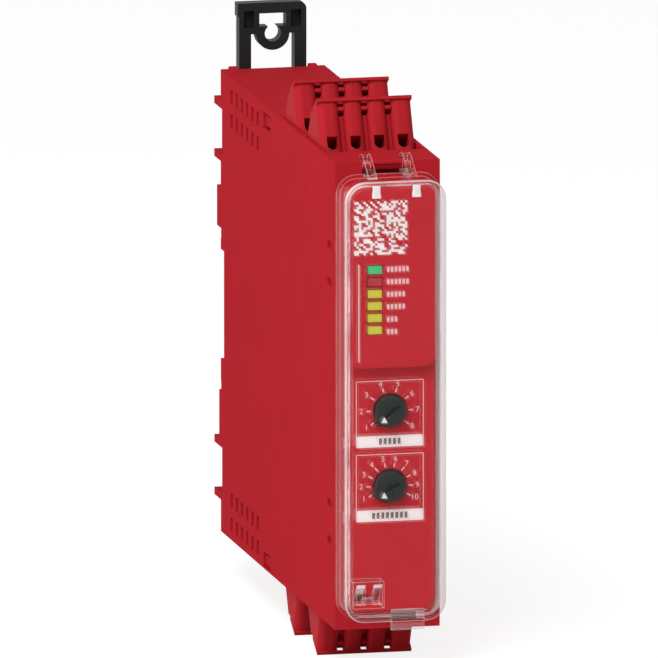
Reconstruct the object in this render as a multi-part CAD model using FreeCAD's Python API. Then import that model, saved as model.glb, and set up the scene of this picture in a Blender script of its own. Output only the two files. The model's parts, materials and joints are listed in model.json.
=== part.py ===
import FreeCAD
import Part

import math
import os

# Safety relay module for a 35 mm mounting rail: red two-part housing, clear sealable cover over the
# front panel with two selectors, four plug-in terminal blocks, and sliding mounting lugs at the back.
#
# Frame, in millimetres: x runs across the module, "forward" is the distance in front of the rail seat
# (forward = -y), and "up" is z. The origin is the centre of the rail seat.

# ---------------------------------------------------------------- driving sizes

# Terminal blocks
poles = 4
terminal_pitch = 5.08
plug_side_clearance = 0.19
plug_tilt = 32.0
front_row_face = 92.1
row_pitch = 21.75
plug_length = 17.0
plug_below = 3.1
plug_body_above = 6.9
plug_head_above = 10.2
plug_head_length = 5.0
head_slope = 5.4
face_lean = 1.6
lip_reach = 2.0
lip_thickness = 0.7
column_depth = 1.7
column_corner = 1.65
groove_width = 0.9
slot_width = 1.35
window_length = 1.4
window_setback = 0.5
bridge_top = 8.6
bridge_bottom = 7.8
lower_slot_bottom = 7.0
slot_depth = 1.4
wire_entry_width = 2.3
wire_entry_low = -0.8
wire_entry_high = 2.05
wire_entry_depth = 5.5
plug_end_wall = 2.5
plug_clearance = 0.25
marker_groove_width = 1.4
marker_groove_depth = 0.45

# Contacts inside a terminal block
pin_size = 0.8
pin_height = 0.6
pin_reach = 7.0
pin_socket_clearance = 0.25
pin_leg_step = 1.4
contact_thickness = 0.5
contact_width = 2.8
chamber_width = 3.2
chamber_height = 7.0
chamber_floor = 0.7
spring_thickness = 0.4
spring_width = 2.4

# Headers on the board
header_gap = 0.3
header_length = 4.2
pocket_wall = 1.0

# Housing
side_wall = 0.9
end_wall = 1.6
front_wall = 1.6
back_wall = 2.6
housing_height = 99.7
housing_depth = 110.6
rail_drop = 1.9

# Back of the housing
rail_seat_height = 35.1
rail_groove_height = 23.6
rail_groove_shift = 1.25
rail_groove_depth = 3.1
rail_relief = 0.3
relief_height = 2.2
hook_height = 8.7
hook_reach = 3.7
hook_lip_overlap = 1.4
hook_lip_width = 11.0
rail_thickness = 1.2
foot_step_reach = 1.65
rib_reach = 6.4
guide_ear_width = 1.7
guide_ear_length = 2.2
guide_ear_height = 0.55
rib_thickness = 1.6
outer_rib_from_end = 6.8
inner_rib_from_end = 18.2
recess_depth = 1.2

# Openings in the side walls
vent_count = 6
vent_pitch = 5.07
vent_first = 10.5
vent_width = 2.1
vent_height = 3.0
vent_row_from_end = 4.1
vent_row_pitch = 5.25
vent_bottom_shift = 0.75
snap_window_forward = 41.4
snap_window_length = 6.8
snap_window_height = 3.4
snap_window_from_end = 3.3
snap_bottom_shift = 1.3
snap_clearance = 0.6
thumb_notch_length = 4.6
thumb_notch_height = 1.6
thumb_notch_depth = 0.55
thumb_notch_setback = 2.9
thumb_notches_from_end = (18.3, 26.2)
latch_dimple_radius = 0.45
latch_dimple_forward = 82.6
latch_dimple_from_end = 11.2

# Sliding lugs
lug_width = 14.6
lug_shift = 0.0
lug_thickness = 3.0
lug_clearance = 0.3
lug_rise = 14.0
lug_head_height = 6.7
lug_length = 26.9
lug_leg_width = 2.6
lug_corner = 1.6
lug_travel = 12.2
lug_grip_step = 0.3
lug_grip_height = 2.9
screw_hole_radius = 1.75
screw_ring_wall = 1.85
screw_ring_gap = 2.2
screw_hole_drop = 6.65
keyhole_width = 5.8
keyhole_height = 2.8
keyhole_drop = 2.3
lug_pocket_width = 2.3
lug_pocket_height = 3.7
lug_pocket_drop = 1.7
lug_pocket_offset = 5.1
latch_nose_overlap = 1.3
lug_bar_height = 3.0

# Clear cover
cover_gap = 0.3
cover_depth = 8.1
cover_wall = 0.9
cover_side_setback = 0.1
cover_end_setback = 2.5
cover_side_taper = 0.3
cover_end_taper = 0.35
cover_corner = 4.3
cover_edge_round = 0.8
hinge_setback = 2.0
hinge_drop = 1.2
hinge_pin_radius = 0.8
hinge_running_gap = 0.05
hinge_eye_radius = 2.55
hinge_arm_width = 1.8
hinge_arm_spacing = 8.6
hinge_arm_slope = 31.0
hinge_arm_thickness = 2.1
hinge_arm_drop = 3.3
hinge_arm_stand = 0.5
hinge_slot_clearance = 0.25
hinge_snap_gap = 1.3
hinge_block_margin = 1.2
hinge_bay_height = 2.8
hinge_bay_depth = 4.2
hinge_bay_skin = 0.5
tab_width = 7.0
tab_shift = 2.4
tab_height = 4.3
tab_overhang = 1.55
tab_thickness = 1.2
tab_groove = 0.32
seal_block_width = 6.6
seal_block_height = 5.6
seal_block_depth = 4.9
seal_block_shift = -5.75
seal_block_rise = 5.9
seal_notch_width = 1.8
seal_rib_width = 1.9
seal_hole_radius = 0.6
seal_hole_rise = 0.75

# Front panel
panel_thickness = 2.4
panel_skin = 1.2
panel_clearance = 0.7
panel_corner = 3.0
panel_rim = 1.4
panel_fit = 0.2
label_height = 1.5
label_bottom_rise = 56.4
label_corner = 2.6

# Light windows
light_count = 6
light_width = 3.0
light_height = 1.7
light_pitch = 2.57
light_shift = -3.65
light_top_rise = 77.4
light_stand = 0.15
light_fit = 0.2

# Selectors
knob_radius = 3.4
knob_nose_radius = 4.4
knob_height = 1.6
knob_gap = 0.3
knob_stem_radius = 1.5
knob_stem_gap = 0.05
knob_slot_width = 0.9
knob_slot_length = 3.6
knob_slot_depth = 0.7
knob_round = 0.35
start_knob_rise = 46.95
function_knob_rise = 30.85
start_first_angle = 216.0
function_first_angle = 205.7
switch_size = 9.0
switch_depth = 5.0

# Boards and what they carry
board_thickness = 1.6
board_wall_gap = 0.55
board_clearance = 0.5
board_back = 6.5
board_tab_drop = 10.5
boss_radius = 2.2
boss_inset = 8.0
boss_from_end = 22.0
front_board_margin = 2.0
front_board_height = 84.0
ledge_size = 4.0
ledge_depth = 1.2
ledge_overlap = 0.6
ledge_from_end = 16.0
relay_length = 28.0
relay_width = 13.0
relay_height = 15.7
relay_forward = 12.0
relay_from_end = 20.5
transformer_size = (18.0, 16.0, 13.0)
transformer_forward = 50.0
capacitor_radius = 5.0
capacitor_height = 12.0
capacitor_forward = 56.0
capacitor_pitch = 12.0
capacitor_rise = 32.0
processor_size = 10.0
processor_height = 1.2
processor_setback = 23.2
processor_from_end = 30.0
fuse_size = (9.0, 4.0, 5.0)
fuse_setback = 23.2
fuse_from_end = 22.0
link_size = (3.0, 20.0, 6.0)
light_chip_size = 1.4
light_chip_height = 0.7

# ---------------------------------------------------------------- sizes that follow

plug_width = poles * terminal_pitch
inside_width = plug_width + 2 * plug_side_clearance
housing_width = inside_width + 2 * side_wall
half_width = housing_width / 2
half_inside = inside_width / 2
bottom = rail_drop - housing_height / 2
top = bottom + housing_height
middle = (top + bottom) / 2
seat_top = rail_seat_height / 2
seat_bottom = -rail_seat_height / 2
groove_top = rail_groove_shift + rail_groove_height / 2
groove_bottom = rail_groove_shift - rail_groove_height / 2

chamber_length = plug_length - wire_entry_depth - plug_end_wall
pocket_depth = plug_length + header_gap + header_length
pocket_floor = plug_below + plug_clearance
pocket_roof = plug_body_above + plug_clearance
row_faces = {"front": front_row_face, "rear": front_row_face - row_pitch}

cover_back = housing_depth + cover_gap
cover_front = cover_back + cover_depth
panel_front = housing_depth + panel_thickness
label_front = panel_front + label_height
hinge_up = top - hinge_drop
hinge_forward = housing_depth - hinge_setback

board_face = half_inside - board_wall_gap - board_thickness
front_board_front = panel_front - panel_skin - switch_depth
front_board_back = front_board_front - board_thickness

lug_front = lug_clearance
lug_back = lug_front - lug_thickness
latch_length = lug_rise - lug_travel + seat_bottom - bottom + latch_nose_overlap
channel_low = lug_shift - lug_width / 2 - lug_grip_step - lug_clearance
channel_high = lug_shift + lug_width / 2 + lug_clearance

# ---------------------------------------------------------------- shape helpers


def at(x, forward, up):
    """A point from its place across, in front of and above the rail seat's centre."""
    return FreeCAD.Vector(x, -forward, up)


def block(x_low, x_high, forward_low, forward_high, up_low, up_high):
    """A box between two planes in each direction."""
    size = (x_high - x_low, forward_high - forward_low, up_high - up_low)
    return Part.makeBox(*size, at(x_low, forward_high, up_low))


def prism(points, x_low, x_high):
    """A side outline of (forward, up) points, carried across from x_low to x_high."""
    corners = [at(x_low, forward, up) for forward, up in points]
    outline = Part.makePolygon(corners + corners[:1])
    return Part.Face(outline).extrude(FreeCAD.Vector(x_high - x_low, 0, 0))


def front_prism(points, forward_low, forward_high):
    """A front outline of (x, up) points, carried forward."""
    corners = [at(x, forward_low, up) for x, up in points]
    outline = Part.makePolygon(corners + corners[:1])
    return Part.Face(outline).extrude(at(0, forward_high - forward_low, 0))


def cross_rod(radius, forward, up, x_low, x_high):
    """A round rod across the module."""
    axis = FreeCAD.Vector(1, 0, 0)
    return Part.makeCylinder(radius, x_high - x_low, at(x_low, forward, up), axis)


def forward_rod(radius, x, up, forward_low, forward_high):
    """A round rod that points forward."""
    return Part.makeCylinder(radius, forward_high - forward_low, at(x, forward_low, up), at(0, 1, 0))


def rounded_outline(width, height, radius, forward, x=0.0, up=middle):
    """A rectangle with round corners, in a plane parallel to the front."""
    half_w = width / 2
    half_h = height / 2
    edges = []
    corner_points = []
    for turn, (sign_x, sign_up) in enumerate(((1, 1), (-1, 1), (-1, -1), (1, -1))):
        centre_x = x + sign_x * (half_w - radius)
        centre_up = up + sign_up * (half_h - radius)
        arc_points = []
        for angle in (turn * 90, turn * 90 + 45, turn * 90 + 90):
            spread = math.radians(angle)
            arc_points.append(at(centre_x + radius * math.cos(spread), forward,
                                 centre_up + radius * math.sin(spread)))
        corner_points.append(arc_points)
    for index, arc_points in enumerate(corner_points):
        edges.append(Part.Arc(*arc_points).toShape())
        following = corner_points[(index + 1) % 4]
        edges.append(Part.makeLine(arc_points[2], following[0]))
    return Part.Wire(edges)


def rounded_plate(width, height, radius, forward_low, forward_high, x=0.0, up=middle):
    """A plate with round corners, parallel to the front."""
    face = Part.Face(rounded_outline(width, height, radius, forward_low, x, up))
    return face.extrude(at(0, forward_high - forward_low, 0))


def mirrored(shape):
    """The same shape at the other end of the housing."""
    return shape.mirror(at(0, 0, middle), FreeCAD.Vector(0, 0, 1))


def at_end(shape, end):
    """A shape made for the top end, at the end asked for."""
    return mirrored(shape) if end == "bottom" else shape


def in_plug_frame(shape, row, end):
    """Turn a shape made along the plug's own axis into its place in a row of terminals.

    The shape is made with the wire face at forward 0 and the housing's surface at up 0.
    """
    placed = shape.copy()
    placed.rotate(FreeCAD.Vector(0, 0, 0), FreeCAD.Vector(1, 0, 0), -plug_tilt)
    placed.translate(at(0, row_faces[row], top))
    return at_end(placed, end)


def fused(shapes):
    """One solid from several that touch."""
    shapes = list(shapes)
    return shapes[0].multiFuse(shapes[1:]).removeSplitter()


def pole_centres():
    """The place across of each pole."""
    first = -plug_width / 2 + terminal_pitch / 2
    return [first + index * terminal_pitch for index in range(poles)]


def save(name, shape):
    """Write one sub-part."""
    shape.exportStep("parts/%s.step" % name)


# ---------------------------------------------------------------- housing


def housing_outline():
    """The side outline of the housing, with ribs, rail hook and rail seat along its back."""
    outer_rib = bottom + outer_rib_from_end
    inner_rib = bottom + inner_rib_from_end
    lower_ribs = [
        (0, bottom),
        (0, outer_rib),
        (-rib_reach, outer_rib),
        (-rib_reach, outer_rib + rib_thickness),
        (recess_depth, outer_rib + rib_thickness),
        (recess_depth, inner_rib),
        (-rib_reach, inner_rib),
        (-rib_reach, inner_rib + rib_thickness),
    ]
    rail_seat = [
        (-foot_step_reach, inner_rib + rib_thickness),
        (-foot_step_reach, seat_bottom),
        (0, seat_bottom),
        (0, groove_bottom),
        (rail_groove_depth, groove_bottom),
        (rail_groove_depth, groove_top),
        (0, groove_top),
        (0, seat_top),
        (-hook_reach, seat_top),
        (-hook_reach, seat_top + hook_height),
        (0, seat_top + hook_height),
        (0, 2 * middle - inner_rib - rib_thickness),
    ]
    upper_ribs = [(forward, 2 * middle - up) for forward, up in reversed(lower_ribs)]
    return lower_ribs + rail_seat + upper_ribs + [(housing_depth, top), (housing_depth, bottom)]


def inner_outline():
    """The side outline of the hollow inside the housing."""
    groove_wall = rail_groove_depth + end_wall
    low = bottom + end_wall
    high = top - end_wall
    front = housing_depth - front_wall
    return [
        (back_wall, low),
        (back_wall, groove_bottom - end_wall),
        (groove_wall, groove_bottom - end_wall),
        (groove_wall, groove_top + end_wall),
        (back_wall, groove_top + end_wall),
        (back_wall, high),
        (front, high),
        (front, low),
    ]


def plug_path(clearance, depth, reach, half):
    """The slanted box that a terminal block slides in, about its own axis."""
    return block(-half, half, -depth, reach, -plug_below - clearance, plug_body_above + clearance)


def pocket_walls(row, end):
    """Walls of the slanted pocket that guides a terminal block, trimmed to the housing."""
    outer = plug_path(plug_clearance + pocket_wall, pocket_depth, 2 * plug_length, half_inside)
    inside = block(-half_inside, half_inside, 0, housing_depth, bottom, top)
    return in_plug_frame(outer, row, end).common(inside)


def pocket_hollow(row, end):
    """The hollow of a pocket, open to the outside."""
    return in_plug_frame(plug_path(plug_clearance, pocket_depth, 2 * plug_length, half_inside), row, end)


def vent_slots(x_low, x_high):
    """Rows of cooling slots near both ends of a side wall."""
    slots = []
    for row in range(2):
        for index in range(vent_count):
            forward = vent_first + index * vent_pitch
            from_end = vent_row_from_end + row * vent_row_pitch
            for up in (top - from_end, bottom + from_end - vent_bottom_shift):
                slots.append(block(x_low, x_high, forward - vent_width / 2, forward + vent_width / 2,
                                   up - vent_height / 2, up + vent_height / 2))
    return slots


def lug_channel(end):
    """The straight channel behind the housing in which a mounting lug slides."""
    inner_end = seat_top + hook_height if end == "top" else 2 * middle - seat_bottom
    channel = block(channel_low, channel_high, lug_back - lug_clearance, lug_front + lug_clearance,
                    inner_end, top)
    return at_end(channel, end)


def rail_cuts():
    """Shallow reliefs in the rail seat beside the hook's lip and the latch's nose."""
    reliefs = []
    for low, high in ((seat_top - relief_height, seat_top), (seat_bottom, seat_bottom + relief_height)):
        reliefs.append(block(-half_width, half_width, -hook_reach, rail_relief, low, high))
    return reliefs


def hook_lip():
    """The lip that hangs over the rail's upper edge."""
    middle_x = lug_shift
    return block(middle_x - hook_lip_width / 2, middle_x + hook_lip_width / 2, -hook_reach, -rail_thickness,
                 seat_top - hook_lip_overlap, seat_top)


def guide_ears():
    """Low ramps beside the channel's mouth, which steer a mounting lug."""
    ears = []
    for x_low in (channel_low - guide_ear_width, channel_high):
        ramp = prism([(0, top), (guide_ear_length, top), (guide_ear_length - guide_ear_height, top + guide_ear_height),
                      (0, top + guide_ear_height)], x_low, x_low + guide_ear_width)
        ears.append(ramp)
    return ears


def front_opening(margin):
    """The opening in the housing's front that the front panel plugs into."""
    width = panel_width() - 2 * panel_rim + 2 * margin
    height = panel_height() - 2 * panel_rim + 2 * margin
    return rounded_plate(width, height, panel_corner - panel_rim + margin, housing_depth - front_wall,
                         housing_depth)


def arm_places():
    """The place across of each hinge arm."""
    return [-hinge_arm_spacing / 2, hinge_arm_spacing / 2]


def hinge_block():
    """The thick corner of the housing that carries the hinge pin."""
    half = hinge_arm_spacing / 2 + hinge_arm_width / 2 + hinge_slot_clearance + hinge_block_margin
    reach = hinge_eye_radius + hinge_slot_clearance + hinge_block_margin
    return block(-half, half, hinge_forward - reach, housing_depth, hinge_up - reach, top)


def hinge_cuts():
    """A slot for each hinge arm, and the deep bay between them."""
    reach = hinge_eye_radius + hinge_slot_clearance
    half = hinge_arm_width / 2 + hinge_slot_clearance
    cuts = []
    for x in arm_places():
        cuts.append(block(x - half, x + half, hinge_forward - reach, housing_depth, hinge_up - reach, top))
    bay = hinge_arm_spacing / 2
    cuts.append(block(-bay, bay, housing_depth - hinge_bay_depth, housing_depth, top - hinge_bay_height,
                      top - hinge_bay_skin))
    return cuts


def hinge_pin():
    """The round bar across both slots, cast with the housing."""
    half = hinge_arm_spacing / 2 + hinge_arm_width / 2 + hinge_slot_clearance
    return cross_rod(hinge_pin_radius, hinge_forward, hinge_up, -half, half)


def board_bosses():
    """Low round bosses that hold the main board off the side wall."""
    bosses = []
    for forward in (board_back + boss_inset, front_board_back - boss_inset):
        boss = cross_rod(boss_radius, forward, top - boss_from_end, board_face + board_thickness, half_inside)
        bosses += [boss, mirrored(boss)]
    return bosses


def board_ledges():
    """Small ledges in front of the front board's edge."""
    low_x = board_face + board_thickness - ledge_overlap
    up = top - ledge_from_end
    ledge = block(low_x, half_inside, front_board_front, front_board_front + ledge_depth, up - ledge_size, up)
    return [ledge, mirrored(ledge)]


def snap_rises():
    """The heights of the two windows that the shell's tabs reach into."""
    return [top - snap_window_from_end, bottom + snap_window_from_end - snap_bottom_shift]


def snap_tabs():
    """Tabs on the shell that hold the side cover through its windows."""
    half_up = snap_window_height / 2 - snap_clearance
    forward_low = snap_window_forward + snap_clearance
    forward_high = snap_window_forward + snap_window_length - snap_clearance
    tabs = []
    for up in snap_rises():
        low = min(up - half_up, bottom + end_wall / 2) if up < middle else up - half_up
        high = max(up + half_up, top - end_wall / 2) if up > middle else up + half_up
        tabs.append(block(-half_inside, -half_inside + end_wall, forward_low, forward_high, low, high))
        tabs.append(block(-half_inside - side_wall / 2, -half_inside, forward_low, forward_high,
                          up - half_up, up + half_up))
    return tabs


def make_housing_shell():
    """Three sides, right wall, plug pockets, hinge and rail hook in one moulding."""
    body = prism(housing_outline(), -half_inside, half_width)
    body = body.cut(prism(inner_outline(), -half_inside, half_inside))
    walls = [pocket_walls(row, end) for row in row_faces for end in ("top", "bottom")]
    body = body.fuse(walls + [hinge_block(), hook_lip()] + snap_tabs() + board_bosses() + board_ledges())
    hollows = [pocket_hollow(row, end) for row in row_faces for end in ("top", "bottom")]
    hollows += [lug_channel("top"), lug_channel("bottom"), front_opening(0)]
    hollows += hinge_cuts() + vent_slots(half_inside, half_width)
    body = body.cut(hollows)
    body = body.cut(rail_cuts())
    return fused([body, hook_lip(), hinge_pin()] + guide_ears())


def make_side_cover():
    """The left wall: a flat moulding with vents, snap windows and small moulded marks."""
    cover = prism(housing_outline(), -half_width, -half_inside)
    cuts = vent_slots(-half_width, -half_inside) + rail_cuts()
    for up in snap_rises():
        cuts.append(block(-half_width, -half_inside, snap_window_forward,
                          snap_window_forward + snap_window_length, up - snap_window_height / 2,
                          up + snap_window_height / 2))
    for from_end in thumb_notches_from_end:
        forward = housing_depth - thumb_notch_setback
        up = top - from_end
        notch = block(-half_width, -half_width + thumb_notch_depth, forward - thumb_notch_length, forward,
                      up - thumb_notch_height / 2, up + thumb_notch_height / 2)
        cuts += [notch, mirrored(notch)]
    dimple = cross_rod(latch_dimple_radius, latch_dimple_forward, top - latch_dimple_from_end, -half_width,
                       -half_width + thumb_notch_depth)
    cuts += [dimple, mirrored(dimple)]
    return cover.cut(cuts)


# ---------------------------------------------------------------- mounting lugs


def make_lug(end, length, with_nose):
    """A flat sliding lug with a snap-in screw hole, and on one of them a nose that grips the rail."""
    raised = lug_rise if end == "top" else lug_rise - lug_travel
    high = top + raised
    head_low = high - lug_head_height
    low = high - length
    left = lug_shift - lug_width / 2
    right = lug_shift + lug_width / 2
    wide = lug_width
    depth = (lug_back, lug_front)
    plate = block(left, right, *depth, low, high)
    grip = block(left - lug_grip_step, left, *depth, high - lug_grip_height, high)
    hole_up = high - screw_hole_drop
    ring_radius = screw_hole_radius + screw_ring_wall
    inner = block(left + lug_leg_width, right - lug_leg_width, *depth, low + lug_bar_height, head_low)
    ring = forward_rod(ring_radius, lug_shift, hole_up, *depth)
    body = plate.fuse(grip).cut(inner).fuse(ring)
    keyhole_up = high - keyhole_drop
    holes = [
        forward_rod(screw_hole_radius, lug_shift, hole_up, *depth),
        block(lug_shift - screw_ring_gap / 2, lug_shift + screw_ring_gap / 2, *depth, hole_up, keyhole_up),
        block(lug_shift - keyhole_width / 2, lug_shift + keyhole_width / 2, *depth,
              keyhole_up - keyhole_height, keyhole_up),
    ]
    for side in (-1, 1):
        x = lug_shift + side * lug_pocket_offset
        holes.append(block(x - lug_pocket_width / 2, x + lug_pocket_width / 2, lug_front - lug_thickness / 2,
                           lug_front, high - lug_pocket_drop - lug_pocket_height, high - lug_pocket_drop))
    body = body.cut(holes)
    corner = body.Edges
    round_edges = [edge for edge in corner if is_lug_corner(edge, right, high)]
    body = body.makeFillet(lug_corner, round_edges)
    if with_nose:
        step = block(left - wide, right + wide, -rail_thickness, lug_front, low - lug_clearance, low + latch_nose_overlap)
        body = body.cut(step)
    return at_end(body.removeSplitter(), end)


def is_lug_corner(edge, x, up):
    """Whether an edge is the lug's outer upper corner."""
    centre = edge.CenterOfMass
    return abs(centre.x - x) < 0.01 and abs(centre.z - up) < 0.01 and edge.Length < lug_thickness + 0.01


# ---------------------------------------------------------------- terminal blocks


def leaned(up):
    """How far the leaning face has come forward at a height in the plug's own frame."""
    return face_lean * (up + plug_below) / (plug_head_above + plug_below)


def column_section(left, right, up):
    """A flat outline with rounded front corners, for one column of a terminal block's face."""
    back = -column_depth
    bend = column_corner
    lean = bend * (1 - math.sqrt(0.5))
    edges = [
        Part.makeLine(at(left, back, up), at(left, -bend, up)),
        Part.Arc(at(left, -bend, up), at(left + lean, -lean, up), at(left + bend, 0, up)).toShape(),
        Part.makeLine(at(left + bend, 0, up), at(right - bend, 0, up)),
        Part.Arc(at(right - bend, 0, up), at(right - lean, -lean, up), at(right, -bend, up)).toShape(),
        Part.makeLine(at(right, -bend, up), at(right, back, up)),
        Part.makeLine(at(right, back, up), at(left, back, up)),
    ]
    return Part.Face(Part.Wire(edges))


def plug_columns():
    """The rounded columns of the face, one for each pole."""
    columns = []
    lip_low = plug_head_above - lip_thickness
    for index, centre in enumerate(pole_centres()):
        left = centre - terminal_pitch / 2 + (groove_width / 2 if index > 0 else 0)
        right = centre + terminal_pitch / 2 - (groove_width / 2 if index < poles - 1 else 0)
        section = column_section(left, right, -plug_below)
        columns.append(section.extrude(FreeCAD.Vector(0, -leaned(lip_low), lip_low + plug_below)))
    return columns


def groove_centres():
    """The place across of each groove between two poles."""
    return [centre + terminal_pitch / 2 for centre in pole_centres()[:-1]]


def plug_cuts():
    """Release slots, lip windows, wire entries, chambers and pin sockets."""
    cuts = []
    lip_low = plug_head_above - lip_thickness
    for x in groove_centres():
        low_x = x - slot_width / 2
        high_x = x + slot_width / 2
        back = -column_depth - slot_depth
        cuts.append(block(low_x, high_x, back, lip_reach, bridge_top, lip_low))
        cuts.append(block(low_x, high_x, back, lip_reach, lower_slot_bottom, bridge_bottom))
        window_front = lip_reach - window_setback
        cuts.append(block(low_x, high_x, window_front - window_length, window_front, lip_low, plug_head_above))
    radius = wire_entry_width / 2
    chamber_back = -wire_entry_depth - chamber_length
    chamber_low = -plug_below + chamber_floor
    socket = pin_size / 2 + pin_socket_clearance
    for x in pole_centres():
        cuts.append(block(x - radius, x + radius, -wire_entry_depth, lip_reach, wire_entry_low + radius,
                          wire_entry_high))
        cuts.append(forward_rod(radius, x, wire_entry_low + radius, -wire_entry_depth, lip_reach))
        cuts.append(block(x - chamber_width / 2, x + chamber_width / 2, chamber_back, -wire_entry_depth,
                          chamber_low, chamber_low + chamber_height))
        cuts.append(block(x - socket, x + socket, -plug_length, chamber_back, pin_height - socket,
                          pin_height + socket))
    groove_front = -head_round_start()
    cuts.append(block(-plug_width / 2, plug_width / 2, groove_front - marker_groove_width, groove_front,
                      plug_head_above - marker_groove_depth, plug_head_above))
    return cuts


def head_round_start():
    """How far behind the face the marker groove begins."""
    return plug_head_length - marker_groove_width - marker_groove_depth


def make_plug(row, end):
    """One four-pole terminal block, with its face, lip, columns and openings."""
    half = plug_width / 2
    lip_low = plug_head_above - lip_thickness
    profile = [
        (-plug_length, -plug_below),
        (-column_depth, -plug_below),
        (face_lean - column_depth, plug_head_above),
        (-plug_head_length, plug_head_above),
        (-plug_head_length - head_slope, plug_body_above),
        (-plug_length, plug_body_above),
    ]
    lip = block(-half, half, -column_depth, lip_reach, lip_low, plug_head_above)
    body = fused([prism(profile, -half, half), lip] + plug_columns()).cut(plug_cuts())
    bridge_front = leaned(bridge_bottom) - marker_groove_depth
    bridges = [block(x - slot_width / 2, x + slot_width / 2, -column_depth, bridge_front,
                     bridge_bottom, bridge_top) for x in groove_centres()]
    return in_plug_frame(fused([body] + bridges), row, end)


def make_contacts(row, end):
    """A forked copper contact on the floor of each chamber."""
    low = -plug_below + chamber_floor
    back = -wire_entry_depth - chamber_length
    fork_low = pin_size / 2 + pin_socket_clearance
    contacts = []
    for x in pole_centres():
        strip = block(x - contact_width / 2, x + contact_width / 2, back, -wire_entry_depth, low,
                      low + contact_thickness)
        tines = []
        for side in (-1, 1):
            near = x + side * fork_low
            far = near + side * contact_thickness
            tines.append(block(min(near, far), max(near, far), back, back + chamber_length / 2, low,
                               pin_height + pin_size))
        contacts.append(in_plug_frame(fused([strip] + tines), row, end))
    return Part.makeCompound(contacts)


def make_springs(row, end):
    """A bent leaf spring on each contact, which holds the wire."""
    seat = -plug_below + chamber_floor + contact_thickness
    roof = -plug_below + chamber_floor + chamber_height - spring_thickness
    rear = -wire_entry_depth - chamber_length / 2 + spring_thickness
    front = -wire_entry_depth - 2 * spring_thickness
    tip = (rear + front) / 2
    profile = [
        (rear, seat),
        (rear, roof),
        (front, roof),
        (tip, seat + contact_thickness + spring_thickness),
        (tip - spring_thickness, seat + contact_thickness + 2 * spring_thickness),
        (front - 2 * spring_thickness, roof - spring_thickness),
        (rear + spring_thickness, roof - spring_thickness),
        (rear + spring_thickness, seat),
    ]
    springs = [in_plug_frame(prism(profile, x - spring_width / 2, x + spring_width / 2), row, end)
               for x in pole_centres()]
    return Part.makeCompound(springs)


def make_header(row, end):
    """The header at the bottom of a pocket, pierced by its pins."""
    front = -plug_length - header_gap
    header = block(-half_inside, half_inside, front - header_length, front, -pocket_floor, pocket_roof)
    half = pin_size / 2
    holes = [block(x - half, x + half, front - header_length, front, pin_height - half, pin_height + half)
             for x in pole_centres()]
    return in_plug_frame(header.cut(holes), row, end)


def pin_leg_place(index):
    """How far behind the face a pin turns towards the main board: the far poles turn last."""
    return -pocket_depth - pin_leg_step - (poles - 1 - index) * pin_leg_step


def make_header_pins(row, end):
    """Square pins through a header, each bent across to the main board."""
    half = pin_size / 2
    tip = -plug_length - header_gap + pin_reach
    pins = []
    for index, x in enumerate(pole_centres()):
        turn = pin_leg_place(index)
        straight = block(x - half, x + half, turn - half, tip, pin_height - half, pin_height + half)
        leg = block(x - half, board_face, turn - half, turn + half, pin_height - half, pin_height + half)
        pins.append(in_plug_frame(fused([straight, leg]), row, end))
    return Part.makeCompound(pins)


# ---------------------------------------------------------------- clear cover


def cover_width(forward):
    """Outer width of the clear cover at a distance in front of the rail seat."""
    share = (forward - cover_back) / cover_depth
    return housing_width - 2 * cover_side_setback - 2 * cover_side_taper * share


def cover_height(forward):
    """Outer height of the clear cover at a distance in front of the rail seat."""
    share = (forward - cover_back) / cover_depth
    return housing_height - 2 * cover_end_setback - 2 * cover_end_taper * share


def cover_body(inset, front, edge_round):
    """A tapered block with round corners and a rounded front edge, inset from the outer shape."""
    sections = []
    shoulder = front - edge_round
    for forward, extra in ((cover_back, 0), (shoulder, 0), (front - edge_round * 0.3, edge_round * 0.3),
                           (front, edge_round)):
        shrink = 2 * (inset + extra)
        sections.append(rounded_outline(cover_width(forward) - shrink, cover_height(forward) - shrink,
                                        cover_corner - inset - extra, forward))
    return Part.makeLoft(sections, True, True)


def hinge_arm(x):
    """A clear arm from the cover's front, over its upper edge, to an eye on the hinge pin."""
    lean = math.radians(hinge_arm_slope)
    out = (math.sin(lean), math.cos(lean))
    along = (math.cos(lean), -math.sin(lean))
    front = cover_front + hinge_arm_stand
    reach = (front - hinge_forward - hinge_eye_radius * out[0]) / along[0]
    eye_top = (hinge_forward + hinge_eye_radius * out[0], hinge_up + hinge_eye_radius * out[1])
    nose = (eye_top[0] + reach * along[0], eye_top[1] + reach * along[1])
    edge_up = middle + cover_height(cover_front) / 2
    thick = hinge_arm_thickness
    profile = [
        eye_top,
        (nose[0] - thick / 2, nose[1] + thick / 2 * math.tan(lean)),
        (front, nose[1] - thick / 2),
        (front, edge_up - hinge_arm_drop),
        (cover_front - cover_wall / 2, edge_up - hinge_arm_drop),
        (cover_front - cover_wall / 2, edge_up - cover_wall / 2),
        (cover_back + thick, edge_up - cover_wall / 2),
        (hinge_forward, hinge_up - hinge_eye_radius / 2),
        (hinge_forward, hinge_up),
    ]
    half = hinge_arm_width / 2
    strap = prism(profile, x - half, x + half)
    eye = cross_rod(hinge_eye_radius, hinge_forward, hinge_up, x - half, x + half)
    hole = cross_rod(hinge_pin_radius + hinge_running_gap, hinge_forward, hinge_up, x - half, x + half)
    snap = block(x - half, x + half, hinge_forward - 2 * hinge_eye_radius, hinge_forward,
                 hinge_up - hinge_snap_gap / 2, hinge_up + hinge_snap_gap / 2)
    return strap.fuse(eye).cut([hole, snap])


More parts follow.
